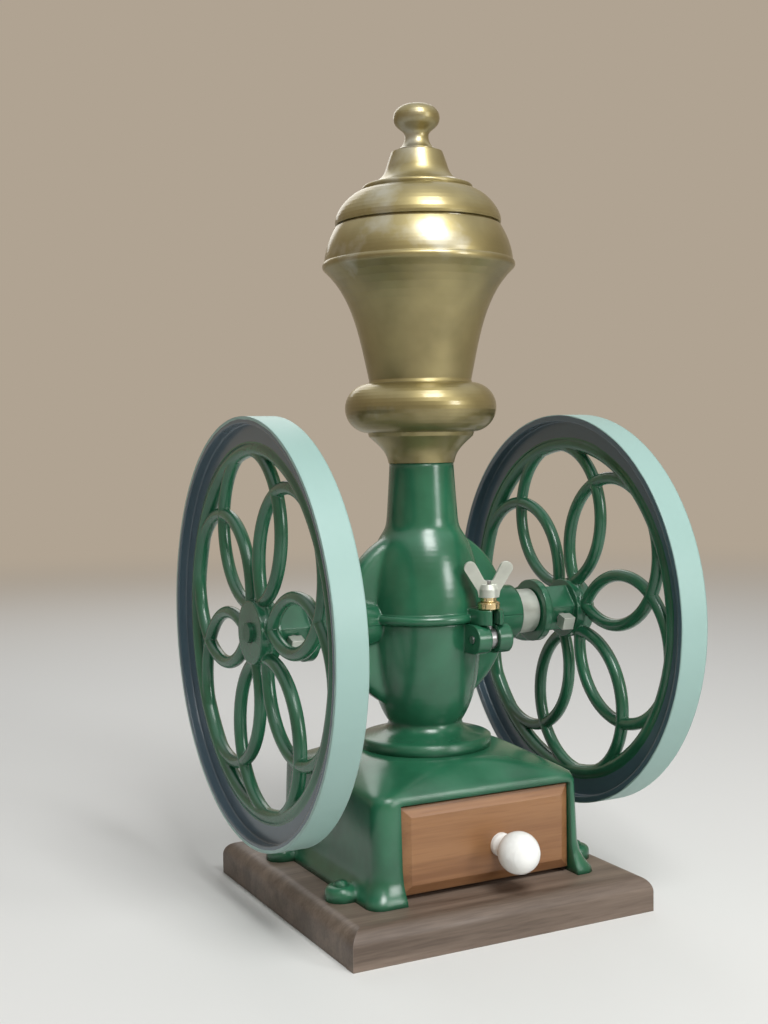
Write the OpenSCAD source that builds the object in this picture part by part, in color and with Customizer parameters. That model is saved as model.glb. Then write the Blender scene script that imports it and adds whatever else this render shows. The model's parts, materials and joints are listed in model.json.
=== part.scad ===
// Hand-turned coffee mill with two flywheels.
// A split cast housing stands on a box with a drawer, a turned hopper stands on its neck,
// and a horizontal shaft carries the wheels, the feed auger and the moving burr.
// Millimetres, +Z up. X runs along the shaft and the drawer opens towards -Y.
// The origin is the centre of the plinth's underside.

/* [Plinth] */
// Side of the square wooden plinth
plinth_w = 170; // [150:1:190]
// Thickness of the plinth
plinth_h = 18; // [14:1:26]
// Radius of the rounded top edge
plinth_round = 8; // [3:1:10]

/* [Box] */
// Width of the box above its foot
box_w = 120; // [112:1:128]
// Room behind the drawer, with the box's back wall
box_back_room = 10; // [9:0.5:16]
// Height of the box up to its shoulder
box_h = 51; // [46:1:70]
// How much narrower the shoulder is than the bottom
box_taper = 3; // [0:0.5:5]
// Rise of the domed top from the shoulder to the housing's seat
box_rise = 11; // [8:0.5:18]
// Thickness of the box's walls
box_wall = 5; // [4:0.5:7]
// Rounding of the shoulder's edge
box_soft = 3.5; // [3:0.5:5]
// Rounding of the box's upright corners
box_corner = 7.5; // [7:0.5:12]
// How far the foot flares out
foot_flare = 5; // [2:0.5:7]
// Height of the flared foot
foot_h = 16; // [10:1:22]
// Radius of the screw lugs at the foot
lug_r = 8; // [7:0.5:10]
// Thickness of the screw lugs
lug_h = 7; // [5:0.5:10]
// Distance of the screw lugs from the middle, front to back
lug_y = 38; // [30:1:44]

/* [Drawer] */
// Width of the drawer's front
drawer_w = 97; // [84:1:100]
// Height of the drawer's front
drawer_h = 43.5; // [38:0.5:45]
// Thickness of the drawer's front
drawer_front_t = 8; // [6:0.5:12]
// Width of the bevel round the drawer's front
drawer_bevel = 5; // [1:0.5:6]
// How far the drawer sits to the right of the middle
drawer_shift = 3.5; // [-4:0.5:4]
// How much wider the front is than the drawer's body, on each side
drawer_lap = 1; // [0.5:0.5:4]
// Depth of the drawer behind its front
drawer_depth = 102; // [80:1:108]
// Thickness of the drawer's boards
drawer_wall = 5; // [4:0.5:7]
// Diameter of the drawer's knob
drawer_knob_d = 21.4; // [16:0.2:26]
// Distance of the knob's middle from the drawer's front
drawer_knob_out = 17; // [14:0.5:24]
// How far the knob sits to the right of the front's middle
knob_shift = 7; // [0:0.5:9]
// How far the knob sits below the front's middle
knob_drop = 3.5; // [0:0.5:5]

/* [Housing] */
// Height of the shaft above the housing's seat on the box
axle_rise = 67; // [64:0.5:80]
// Diameter of the barrel at the shaft
barrel_d = 63; // [60:0.2:66]
// Diameter of the neck at its top
neck_d = 34; // [32:0.2:38]
// Diameter where the neck meets the barrel's shoulder
neck_base_d = 38.6; // [36:0.2:42]
// Height of the barrel's shoulder above the shaft
shoulder_h = 49; // [46:0.5:56]
// Height of the neck above the shoulder
neck_h = 34; // [28:0.5:44]
// Height of the neck's spigot inside the hopper
spigot_h = 6; // [4:0.5:9]
// Bore of the neck
throat_d = 23; // [18:0.5:25]
// Diameter of the waist below the barrel
waist_d = 39; // [38:0.5:46]
// Height of the waist above the housing's seat
waist_h = 13; // [10:0.5:16]
// Diameter of the foot collar
collar_d = 70; // [66:0.5:76]
// Thickness of the foot collar's edge
collar_h = 5; // [4:0.5:7]
// Diameter of the round web that joins the barrel to its bosses
web_d = 99; // [94:1:102]
// Thickness of the web
web_t = 12; // [9:0.5:16]
// Rounding of the web's edges
web_round = 4; // [2:0.5:4.5]
// Diameter of the bearing bosses
boss_d = 30; // [28:0.5:34]
// How far the bosses stand out beyond the web
boss_out = 4; // [2:0.5:6]
// Thickness of the parting flange
flange_t = 5; // [3:0.5:6]
// How far the parting flange stands out from the barrel
flange_out = 3; // [2:0.5:5]
// Thickness of the upper casting's ears
ear_t = 7.5; // [5:0.5:9]

/* [Clamp] */
// Distance of the clamp's bolt from the middle, along the shaft
clamp_x = 17.5; // [16:0.1:20]
// Distance of the clamp's bolt outside the barrel
clamp_gap = 10.4; // [10:0.1:12]
// Width of the clamp's fork
fork_w = 20; // [16:0.5:22]
// Radius of the fork's knuckles
knuckle_r = 7.5; // [6.5:0.5:9]
// Diameter of the swing bolt
clamp_bolt_d = 4; // [3:0.5:5]
// Diameter of the brass collar
clamp_collar_d = 11.5; // [10:0.5:14]
// Height of the brass collar
clamp_collar_h = 6.4; // [5:0.2:9]
// Span of the wing nut
wing_span = 25; // [20:0.5:25]
// Height of the wing nut
wing_h = 18.4; // [15:0.2:21]
// Turn of the wing nut about its bolt at rest
wing_turn = -27; // [-90:1:90]

/* [Shaft and mill] */
// Diameter of the shaft
shaft_d = 10; // [8:0.2:11]
// Diameter of the adjusting sleeve
sleeve_d = 24; // [22:0.5:26]
// Gap between the sleeve and the wheel's hub
sleeve_gap = 1; // [0.8:0.1:4]
// Diameter of the left bush inside its boss
bush_d = 16; // [14:0.5:20]
// Diameter of the burrs
burr_d = 33; // [30:0.5:34]
// Thickness of each burr
burr_t = 5; // [4:0.5:5]
// Gap between the burrs at rest
burr_gap = 1; // [0.9:0.1:1.5]
// Number of grooves in each burr
burr_grooves = 14; // [8:1:18]
// Depth of the burrs' grooves
groove_depth = 1.4; // [0.6:0.1:2]
// Diameter of the feed auger
auger_d = 19.6; // [18:0.2:20.4]
// Length of the feed auger
auger_len = 17; // [14:0.5:18]

/* [Wheels] */
// Diameter of the flywheels
wheel_d = 216; // [196:1:220]
// Width of the rim
wheel_w = 16; // [14:0.5:20]
// Distance between the wheels' middle planes
wheel_track = 187; // [184:0.5:200]
// Thickness of the rim's outer hoop
hoop_t = 3.5; // [3:0.1:5]
// Depth of the rim from the outside to its inner edge
rim_depth = 20; // [17:0.5:24]
// Thickness of the rim's web
rim_web_t = 6; // [4:0.5:8]
// Diameter of the rim's inner bead
bead_d = 8; // [7.6:0.2:10]
// Number of rings that make the spokes
ring_count = 6; // [5:1:7]
// Diameter of the rings' bar
ring_bar = 6.6; // [5.6:0.2:7.4]
// Diameter of the hub's disc
hub_d = 32; // [30:0.5:38]
// Width of the hub's disc
hub_w = 11; // [9:0.5:15]
// How far the rings reach into the hub's disc
ring_bite = 3; // [2:0.5:5]
// Size across the flats of the hub's hexagon
hex_af = 24; // [22:0.5:28]
// Length from the wheel's middle plane to the hub's inner end
hex_len = 26.5; // [25:0.5:27]
// Diameter of the round collar at the hub's inner end
hub_collar_d = 34; // [30:0.5:38]
// Thickness of the hub's collar
hub_collar_t = 4; // [2:0.5:5]
// Distance of the set screw from the hub's inner end
set_inset = 13.5; // [9:0.5:15]
// Turn of the rings about the shaft at rest
ring_turn = -70; // [-90:1:90]
// Size of the set screws' square heads
set_head = 7; // [6:0.5:8]
// Height of the set screws' heads
set_head_h = 6; // [4:0.5:8]

/* [Hopper] */
// Radius of the hopper's foot
hopper_foot_r = 17.4; // [16.5:0.1:20]
// Height of the cove above the foot
cove_h = 14; // [10:0.5:18]
// Radius at the top of the cove
cove_r = 27.5; // [26:0.5:30]
// Section radius of the ring bulge
bulge_r = 13; // [11:0.5:15]
// Radius of the waist above the bulge
bell_r = 27; // [26:0.5:30]
// Height of the flared bell
bell_h = 58; // [48:1:72]
// Radius of the lip
lip_r = 50.6; // [48:0.2:56]
// Height of the rim above the lip
rim_h = 19; // [16:0.5:28]
// Radius of the hopper's mouth, outside
mouth_r = 43.5; // [42:0.2:47]
// Thickness of the hopper's wall
hopper_wall = 3; // [2:0.2:4]

/* [Lid] */
// Height of the lid's dome up to its step
dome_h = 19; // [14:0.5:26]
// Radius of the step
step_r = 29; // [26:0.5:34]
// Height of the ogee above the step
ogee_h = 8.5; // [7:0.5:14]
// Height of the lid's top collar
lid_collar_h = 9; // [7:0.5:14]
// Radius of the lid's top collar
lid_collar_r = 14; // [12:0.5:17]
// Thickness of the lid's wall
lid_wall = 3; // [2.4:0.2:4]
// Depth of the lip inside the hopper
lid_lip_h = 6; // [4:0.5:10]
// Radius of the lid's knob
lid_knob_r = 12.4; // [9:0.2:15]
// Height of the lid's knob
lid_knob_h = 25; // [20:0.5:32]

/* [Hidden] */
$fn = 96;
EPS = 0.01;
// Clearances
FIT = 0.05;
SEAT = 0.3;
LOOSE = 0.6;
KEY_GAP = 0.2;

// Heights
seat_z = plinth_h + box_h + box_rise;
shoulder_z = plinth_h + box_h;
shaft_z = seat_z + axle_rise;
waist_z = seat_z + waist_h;
neck_base_z = shaft_z + shoulder_h;
neck_top_z = neck_base_z + neck_h;
hopper_z = neck_top_z;
bulge_z = cove_h + 2 + bulge_r;
bell_z = bulge_z + bulge_r + 1.5;
lip_z = bell_z + bell_h;
hopper_h = lip_z + 3 + rim_h;
lid_z = hopper_z + hopper_h;
step_z = dome_h + 2.5;
lid_top = step_z + ogee_h + lid_collar_h;

// Box and drawer
box_half = box_w / 2;
box_half_y = (drawer_front_t + drawer_depth + box_back_room) / 2;
box_lean = box_taper / 2;
seat_r = collar_d / 2 + 4;
lug_screw_r = 2;
lug_head_r = 3.8;
lug_edge = 3;
lug_x = box_half + foot_flare + lug_head_r;
screw_grip = 11;
drawer_z = plinth_h + 2.5;
drawer_top_gap = 1.2;
drawer_body_w = drawer_w - 2 * drawer_lap;
drawer_body_h = drawer_h - 6;
drawer_face_y = box_lean - box_half_y;
drawer_back_y = drawer_face_y + drawer_front_t;
drawer_body_z = plinth_h + SEAT;
front_z = drawer_z + drawer_h / 2;
knob_screw_r = 2;
chute_r = 8;
chute_x = 8;
foot_bolt_r = 2.5;
foot_bolt_pcd = collar_d - 16;
box_top_t = 7;
bolt_af = 8;

// Housing and mill along the shaft
barrel_r = barrel_d / 2;
boss_x = web_d / 2 + boss_out;
clamp_y = -sqrt(pow(barrel_r + clamp_gap, 2) - pow(clamp_x, 2));
ear_r = clamp_collar_d / 2 + 1.8;
fork_slit = clamp_bolt_d + LOOSE;
fork_pin_r = 2;
fork_pin_z = shaft_z - knuckle_r;
ear_top_z = shaft_z + ear_t;
rear_bolt_r = 2.5;
rear_lug_t = 7;
shaft_r = shaft_d / 2;
burr_r = burr_d / 2;
burr_x = 2;
moving_x = burr_x + burr_t + burr_gap;
burr_hub_len = 3.5;
burr_hub_r = 9;
washer_x = moving_x + burr_t + burr_hub_len + EPS;
washer_t = 1.5;
sleeve_in_x = washer_x + washer_t + EPS;
chamber_r = burr_r + 2;
chamber_x = washer_x + 1;
auger_x = burr_x - 1 - auger_len;
auger_bore_r = auger_d / 2 + LOOSE;
feed_r = 7.5;
feed_x = -feed_r;
feed_top_z = neck_base_z - 8;
bush_in_x = auger_x - 1;
hub_end_x = wheel_track / 2 - hex_len;
sleeve_x = hub_end_x - sleeve_gap;
bush_head_x = hub_end_x - sleeve_gap;
burr_screw_r = 1.5;
burr_screw_pcd_r = (burr_r + auger_bore_r) / 2;
key_w = 3;
key_len = burr_t + burr_hub_len - SEAT;

// Wheels
wheel_r = wheel_d / 2;
rim_in_r = wheel_r - rim_depth;
bead_r = rim_in_r + bead_d / 2;
ring_near_r = hub_d / 2 - ring_bite;
ring_r = (bead_r - ring_near_r) / 2;
ring_off = (bead_r + ring_near_r) / 2;
set_x = hub_end_x + set_inset;
set_r = 3;
shaft_end = wheel_track / 2 + hub_w / 2 + 2;

GREEN = [0.12, 0.40, 0.25];
GOLD = [0.58, 0.51, 0.28];
BRIGHT = [0.85, 0.86, 0.84];
STEEL = [0.55, 0.56, 0.57];
BRASS = [0.75, 0.58, 0.33];
WALNUT = [0.33, 0.25, 0.21];
CHERRY = [0.56, 0.34, 0.20];

// Points of a cubic curve after its first point
function curve(a, b, c, d, n = 10) = [
    for (i = [1 : n])
        let (t = i / n, s = 1 - t)
            s * s * s * a + 3 * s * s * t * b + 3 * s * t * t * c + t * t * t * d
];

// Points of an arc, both ends included
function arc(centre, r, from, to, n = 16) = [
    for (i = [0 : n])
        let (a = from + (to - from) * i / n)
            [centre[0] + r * cos(a), centre[1] + r * sin(a)]
];

module lathe(points) {
    rotate_extrude() polygon(points);
}

// Cylinder along X from x0 to x1 at the shaft's height
module along_x(x0, x1, r) {
    translate([x0, 0, shaft_z]) rotate([0, 90, 0]) cylinder(h = x1 - x0, r = r);
}

module hexagon_prism(af, h) {
    cylinder(h = h, d = af / cos(30), $fn = 6);
}

// The four round corners of a level slice through the box, with its walls moved out by grow
module slice(z, grow, r) {
    corners(z, box_half + grow, box_half_y + grow, r);
}

// One slice of the flared foot, which follows the leaning wall
module foot_slice(step, less) {
    rise = foot_h * step[0];
    slice(plinth_h + rise, foot_flare * step[1] - box_lean * rise / (box_h - box_soft) - less, box_corner);
}

// Four thin discs of radius r that touch the sides of a rectangle, of half width w and half depth d
module corners(z, w, d, r) {
    for (x = [-1, 1], y = [-1, 1]) translate([x * (w - r), y * (d - r), z])
        cylinder(h = EPS, r = r, $fn = 40);
}

// Plinth with its top edge rounded along all four sides and mitred at the corners
module plinth_section() {
    flat = plinth_w - 2 * plinth_round;
    rotate([90, 0, 0])
        linear_extrude(plinth_w, center = true) {
            translate([-plinth_w / 2, 0]) square([plinth_w, plinth_h - plinth_round]);
            translate([-flat / 2, 0]) square([flat, plinth_h]);
            for (s = [-1, 1]) translate([s * flat / 2, plinth_h - plinth_round]) circle(plinth_round);
        }
}

module lug_places() {
    for (x = [-1, 1], y = [-1, 1]) translate([x * lug_x, y * lug_y, 0]) children();
}

module foot_bolt_places() {
    for (a = [45 : 90 : 315]) rotate([0, 0, a]) translate([foot_bolt_pcd / 2, 0, 0]) children();
}

module base_plinth() {
    color(WALNUT) difference() {
        intersection() {
            plinth_section();
            rotate([0, 0, 90]) plinth_section();
        }
        lug_places() translate([0, 0, plinth_h - screw_grip - 1])
            cylinder(h = screw_grip + 2, r = lug_screw_r);
    }
}

// Shares of the way from the round seat to the square shoulder: outwards, down, and in the corners
ROOF = [
    [0, 0, 0], [0.16, 0.05, 0.12], [0.32, 0.17, 0.3], [0.5, 0.33, 0.54], [0.68, 0.5, 0.74],
    [0.84, 0.65, 0.89], [0.95, 0.77, 0.97], [1, 1, 1]
];

// Shares of the foot's height and of its flare, up its hollow curve
FOOT = [[0, 1], [0.14, 0.92], [0.35, 0.5], [0.62, 0.17], [1, 0]];

// Outside of the box: tapered walls with a dome up to the round seat, on a foot that flares out
module box_outside() {
    hull() {
        slice(plinth_h, 0, box_corner);
        for (s = ROOF) {
            w = seat_r + s[0] * (box_half - box_lean - seat_r);
            d = seat_r + s[0] * (box_half_y - box_lean - seat_r);
            corners(seat_z - EPS - s[1] * (box_rise + box_soft), w, d,
                (1 - s[2]) * min(w, d) + s[2] * box_corner);
        }
    }
    for (i = [1 : len(FOOT) - 1]) hull() {
        foot_slice(FOOT[i - 1], 0);
        foot_slice(FOOT[i], EPS);
    }
}

module box_inside() {
    hull() {
        slice(plinth_h - 1, -box_wall, box_corner - 2);
        slice(shoulder_z - box_wall, -box_wall - box_lean, box_corner - 2);
        translate([0, 0, seat_z - box_top_t]) cylinder(h = EPS, r = foot_bolt_pcd / 2 + bolt_af, $fn = 40);
    }
}

module base_box() {
    opening_w = drawer_w + 2 * LOOSE;
    opening_h = drawer_z + drawer_h + drawer_top_gap - plinth_h;
    color(GREEN) difference() {
        union() {
            box_outside();
            lug_places() translate([0, 0, plinth_h]) lathe(concat(
                [[0, 0], [lug_r, 0]], arc([lug_r - lug_edge, lug_h - lug_edge], lug_edge, 0, 90, 6),
                [[0, lug_h]]));
            for (y = [-1, 1]) translate([-lug_x, y * lug_y - lug_r, plinth_h])
                cube([2 * lug_x, 2 * lug_r, lug_h - lug_edge]);
        }
        box_inside();
        translate([drawer_shift - opening_w / 2, -2 * box_half_y, plinth_h - 1])
            cube([opening_w, 2 * box_half_y, opening_h + 1]);
        lug_places() translate([0, 0, plinth_h - 1]) cylinder(h = lug_h + 2, r = lug_screw_r + FIT);
        translate([chute_x, 0, shoulder_z - box_wall]) cylinder(h = box_rise + box_wall + 1, r = chute_r);
        foot_bolt_places() translate([0, 0, shoulder_z]) cylinder(h = box_rise + 1, r = foot_bolt_r + FIT);
    }
}

module base_screws() {
    head_h = 2.4;
    color(STEEL) lug_places() translate([0, 0, plinth_h + lug_h]) difference() {
        union() {
            lathe(concat(
                [[0, 0], [lug_head_r, 0]],
                curve([lug_head_r, 0], [lug_head_r, head_h * 0.7], [lug_head_r * 0.6, head_h], [0, head_h])));
            translate([0, 0, -lug_h - screw_grip])
                cylinder(h = lug_h + screw_grip + EPS, r = lug_screw_r - FIT);
        }
        translate([-lug_head_r, -0.5, head_h - 1]) cube([2 * lug_head_r, 1, 2]);
    }
}

// Raised panel: a bevelled front made from two crossed sections
module drawer_front() {
    flat_w = drawer_w - 2 * drawer_bevel;
    flat_h = drawer_h - 2 * drawer_bevel;
    edge_t = drawer_front_t - drawer_bevel / 2;
    color(CHERRY) translate([drawer_shift, drawer_back_y, front_z]) difference() {
        intersection() {
            rotate([0, 0, 180]) linear_extrude(drawer_h, center = true) polygon([
                [-drawer_w / 2, 0], [drawer_w / 2, 0], [drawer_w / 2, edge_t],
                [flat_w / 2, drawer_front_t], [-flat_w / 2, drawer_front_t], [-drawer_w / 2, edge_t]
            ]);
            rotate([180, -90, 0]) linear_extrude(drawer_w, center = true) polygon([
                [-drawer_h / 2, 0], [drawer_h / 2, 0], [drawer_h / 2, edge_t],
                [flat_h / 2, drawer_front_t], [-flat_h / 2, drawer_front_t], [-drawer_h / 2, edge_t]
            ]);
        }
        translate([knob_shift, 1, -knob_drop]) rotate([90, 0, 0])
            cylinder(h = drawer_front_t + 2, r = knob_screw_r + FIT);
    }
}

// One board of the drawer, from its lowest corner
module board(x, y, z, size) {
    color(CHERRY) translate([drawer_shift + x, drawer_back_y + y, drawer_body_z + z]) cube(size);
}

module drawer_left_side() {
    board(-drawer_body_w / 2, 0, 0, [drawer_wall, drawer_depth, drawer_body_h]);
}

module drawer_right_side() {
    board(drawer_body_w / 2 - drawer_wall, 0, 0, [drawer_wall, drawer_depth, drawer_body_h]);
}

module drawer_back() {
    board(-drawer_body_w / 2 + drawer_wall, drawer_depth - drawer_wall, 0,
        [drawer_body_w - 2 * drawer_wall, drawer_wall, drawer_body_h]);
}

module drawer_bottom() {
    board(-drawer_body_w / 2 + drawer_wall, 0, 0,
        [drawer_body_w - 2 * drawer_wall, drawer_depth - drawer_wall, drawer_wall]);
}

// Revolved about the knob's own axis, which points out of the drawer
module on_knob_axis() {
    translate([drawer_shift + knob_shift, drawer_face_y, front_z - knob_drop]) rotate([90, 0, 0]) children();
}

module drawer_knob() {
    r = drawer_knob_d / 2;
    base_r = r * 0.56;
    neck_r = r * 0.46;
    head = drawer_knob_out - r * 0.72;
    color([0.94, 0.94, 0.92]) on_knob_axis() difference() {
        lathe(concat(
            [[0, 0], [base_r, 0], [base_r, 2]],
            curve([base_r, 2], [base_r, 3], [neck_r, 3], [neck_r, head - 2]),
            curve([neck_r, head - 2], [neck_r, head], [r * 0.7, head], [r * 0.86, drawer_knob_out - r * 0.5]),
            curve([r * 0.86, drawer_knob_out - r * 0.5], [r * 1.06, drawer_knob_out - r * 0.1],
                [r * 1.02, drawer_knob_out + r * 0.3], [r * 0.7, drawer_knob_out + r * 0.7]),
            curve([r * 0.7, drawer_knob_out + r * 0.7], [r * 0.45, drawer_knob_out + r * 0.95],
                [r * 0.2, drawer_knob_out + r], [0, drawer_knob_out + r])
        ));
        translate([0, 0, -1]) cylinder(h = drawer_knob_out, r = knob_screw_r);
    }
}

module knob_screw() {
    head_h = 3;
    color(STEEL) on_knob_axis() {
        translate([0, 0, -drawer_front_t - head_h]) cylinder(h = head_h, r = 2 * knob_screw_r);
        translate([0, 0, -drawer_front_t - EPS])
            cylinder(h = drawer_front_t + drawer_knob_out - 2, r = knob_screw_r - FIT);
    }
}

// Outline of the castings' body of revolution, from the foot collar to the neck's spigot
function casting_outline() =
    let (foot_r = collar_d / 2, waist_r = waist_d / 2, base_r = neck_base_d / 2, top_r = neck_d / 2,
        spigot_r = hopper_foot_r - hopper_wall - FIT)
    concat(
        [[0, seat_z], [foot_r, seat_z], [foot_r, seat_z + collar_h]],
        curve([foot_r, seat_z + collar_h], [foot_r - 1, seat_z + collar_h + 2],
            [waist_r + 1, seat_z + collar_h + 1], [waist_r, waist_z]),
        curve([waist_r, waist_z], [barrel_r - 5.5, waist_z + 9],
            [barrel_r - 1.5, shaft_z - 29], [barrel_r, shaft_z], 14),
        curve([barrel_r, shaft_z], [barrel_r, shaft_z + 24],
            [base_r + 7, neck_base_z - 10], [base_r + 2.2, neck_base_z - 3], 14),
        curve([base_r + 2.2, neck_base_z - 3], [base_r + 0.6, neck_base_z - 0.7],
            [base_r, neck_base_z + 1], [base_r - 0.4, neck_base_z + 5], 6),
        curve([base_r - 0.4, neck_base_z + 5], [base_r - 0.9, neck_base_z + 12],
            [top_r + 0.6, neck_top_z - 12], [top_r, neck_top_z]),
        [[spigot_r, neck_top_z], [spigot_r, neck_top_z + spigot_h], [0, neck_top_z + spigot_h]]
    );

// Round plate through the barrel, upright and along the shaft
module web() {
    edge_r = web_d / 2 - web_round;
    edge_y = web_t / 2 - web_round;
    translate([0, 0, shaft_z]) rotate([90, 0, 0]) lathe(concat(
        [[0, -web_t / 2]],
        arc([edge_r, -edge_y], web_round, -90, 0, 8),
        arc([edge_r, edge_y], web_round, 0, 90, 8),
        [[0, web_t / 2]]));
}

// Both castings as one solid: barrel, web and bearing bosses, the left one tapered towards the barrel
module casting() {
    root_r = bush_d / 2 + 2;
    straight = 7;
    lathe(casting_outline());
    web();
    along_x(0, boss_x, boss_d / 2);
    translate([-boss_x, 0, shaft_z]) rotate([0, 90, 0]) lathe([
        [0, 0], [boss_d / 2, 0], [boss_d / 2, straight], [root_r, boss_x - barrel_r + straight],
        [root_r, boss_x], [0, boss_x]
    ]);
}

// Everything that is bored along the shaft, and the ways in and out for the coffee
module mill_bores() {
    along_x(auger_x - 1, burr_x + EPS, auger_bore_r);
    along_x(burr_x, chamber_x, chamber_r);
    along_x(chamber_x - 1, boss_x + 1, sleeve_d / 2 + FIT);
    along_x(-boss_x - 1, auger_x, bush_d / 2 + FIT);
    translate([0, 0, feed_top_z]) cylinder(h = neck_top_z + spigot_h - feed_top_z + 1, d = throat_d);
    translate([feed_x, 0, shaft_z]) cylinder(h = feed_top_z - shaft_z + 1, r = feed_r);
    translate([chute_x, 0, seat_z - 1]) cylinder(h = axle_rise, r = chute_r);
    for (a = [-55, -125]) rotate_about_shaft(a) along_x(burr_x - 7, burr_x + 1, burr_screw_r);
}

// Moves its children out from the shaft by the burr screws' radius, at an angle from +Y
module rotate_about_shaft(angle) {
    translate([0, burr_screw_pcd_r * cos(angle), burr_screw_pcd_r * sin(angle)]) children();
}

// Half space below the parting plane
module below_parting() {
    reach = 2 * wheel_d;
    translate([0, 0, shaft_z - reach / 2]) cube(reach, center = true);
}

module rear_place() {
    translate([-clamp_x, -clamp_y, 0]) children();
}

module rear_bolt_hole() {
    rear_place() translate([0, 0, shaft_z - rear_lug_t - 1])
        cylinder(h = rear_lug_t + ear_t + 2, r = rear_bolt_r + FIT);
}

// Flat ear that reaches from the barrel out to a bolt at clamp_x, clamp_y
module ear(z, t, r) {
    translate([0, 0, z]) {
        translate([clamp_x, clamp_y, 0]) cylinder(h = t, r = r);
        translate([clamp_x - r, clamp_y, 0]) cube([2 * r, -clamp_y - 2, t]);
    }
}

module lower_housing() {
    color(GREEN) difference() {
        union() {
            intersection() {
                casting();
                below_parting();
            }
            translate([clamp_x - fork_w / 2, clamp_y, fork_pin_z]) rotate([0, 90, 0])
                cylinder(h = fork_w, r = knuckle_r);
            translate([clamp_x - fork_w / 2, clamp_y, shaft_z - 2 * knuckle_r])
                cube([fork_w, -clamp_y - 6, 2 * knuckle_r]);
            rotate([0, 0, 180]) ear(shaft_z - rear_lug_t, rear_lug_t, ear_r);
        }
        mill_bores();
        translate([clamp_x - fork_slit / 2, clamp_y - fork_w, shaft_z - 2 * knuckle_r - 1])
            cube([fork_slit, fork_w + knuckle_r, 2 * knuckle_r + 2]);
        translate([clamp_x - fork_w, clamp_y, fork_pin_z]) rotate([0, 90, 0])
            cylinder(h = 2 * fork_w, r = fork_pin_r + FIT);
        rear_bolt_hole();
        foot_bolt_places() translate([0, 0, seat_z - 1]) cylinder(h = collar_h + 1, r = foot_bolt_r + FIT);
    }
}

module upper_housing() {
    flange_r = barrel_r + flange_out;
    color(GREEN) difference() {
        union() {
            difference() {
                casting();
                below_parting();
            }
            translate([0, 0, shaft_z]) lathe(concat(
                [[0, 0]],
                arc([flange_r - flange_t / 2, flange_t / 2], flange_t / 2, -90, 90, 10),
                [[0, flange_t]]));
            ear(shaft_z, ear_t, ear_r);
            rotate([0, 0, 180]) ear(shaft_z, ear_t, ear_r);
        }
        mill_bores();
        translate([clamp_x, clamp_y, shaft_z - 1]) cylinder(h = ear_t + 2, d = fork_slit);
        translate([clamp_x - fork_slit / 2, clamp_y - 2 * ear_r, shaft_z - 1])
            cube([fork_slit, 2 * ear_r, ear_t + 2]);
        rear_bolt_hole();
    }
}

module foot_bolts() {
    head_h = 3.5;
    top = seat_z - box_top_t;
    color(STEEL) foot_bolt_places() translate([0, 0, top]) {
        translate([0, 0, -head_h]) hexagon_prism(bolt_af, head_h);
        translate([0, 0, -EPS]) cylinder(h = box_top_t + collar_h - 1, r = foot_bolt_r - FIT);
    }
}

// Swing bolt: an eye on the fork's pin and a shank up through the ear
module clamp_bolt() {
    eye_r = knuckle_r - 2;
    eye_t = fork_slit - 2 * KEY_GAP;
    shank_top = ear_top_z + clamp_collar_h + wing_h * 0.47;
    color(STEEL) translate([clamp_x, clamp_y, fork_pin_z]) difference() {
        union() {
            translate([-eye_t / 2, 0, 0]) rotate([0, 90, 0]) cylinder(h = eye_t, r = eye_r);
            cylinder(h = shank_top - fork_pin_z, d = clamp_bolt_d);
        }
        translate([-eye_t, 0, 0]) rotate([0, 90, 0]) cylinder(h = 2 * eye_t, r = fork_pin_r + FIT);
    }
}

module clamp_pin() {
    color(STEEL) translate([clamp_x - fork_w / 2 - 0.5, clamp_y, fork_pin_z]) rotate([0, 90, 0])
        cylinder(h = fork_w + 1, r = fork_pin_r);
}

module clamp_collar() {
    r = clamp_collar_d / 2;
    color(BRASS) translate([clamp_x, clamp_y, ear_top_z + EPS]) difference() {
        lathe([[0, 0], [r - 0.6, 0], [r, 0.6], [r, clamp_collar_h * 0.55], [r - 1.6, clamp_collar_h * 0.7],
            [r - 1.6, clamp_collar_h], [0, clamp_collar_h]]);
        translate([0, 0, -1]) cylinder(h = clamp_collar_h + 2, d = clamp_bolt_d + 2 * FIT);
    }
}

// Cast in one piece: a round hub and two broad wings that meet in a V above it
module wing_nut() {
    hub_r = 5.2;
    hub_h = wing_h * 0.36;
    tip_r = 3.3;
    wing_t = 3.8;
    tip = [wing_span / 2 - tip_r, wing_h - tip_r];
    lean = atan2(tip[1] - hub_h * 0.4, tip[0] - hub_r * 0.8);
    side = tip_r * [sin(lean), -cos(lean)];
    color(BRIGHT) translate([clamp_x, clamp_y, ear_top_z + clamp_collar_h + 2 * EPS])
        rotate([0, 0, wing_turn]) difference() {
            union() {
                lathe([[0, 0], [hub_r, 0], [hub_r, hub_h * 0.6], [hub_r - 1, hub_h], [0, hub_h]]);
                for (s = [0, 180]) rotate([90, 0, s]) linear_extrude(wing_t, center = true) {
                    translate(tip) circle(tip_r);
                    polygon([[0, 0], [hub_r, 0], [hub_r + 0.6, hub_h * 0.5], tip + side, tip - side,
                        [2.2, wing_h * 0.48], [0, wing_h * 0.43]]);
                }
            }
            translate([0, 0, -1]) cylinder(h = wing_h, d = clamp_bolt_d + 2 * FIT);
        }
}

module rear_bolt() {
    head_h = 3.5;
    color(STEEL) rear_place() {
        translate([0, 0, ear_top_z]) hexagon_prism(bolt_af, head_h);
        translate([0, 0, shaft_z - rear_lug_t - 6])
            cylinder(h = ear_t + rear_lug_t + 6 + EPS, r = rear_bolt_r - FIT);
    }
}

module rear_nut() {
    nut_h = 4;
    color(STEEL) rear_place() translate([0, 0, shaft_z - rear_lug_t - nut_h]) difference() {
        hexagon_prism(bolt_af, nut_h);
        translate([0, 0, -1]) cylinder(h = nut_h + 2, r = rear_bolt_r);
    }
}

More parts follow.
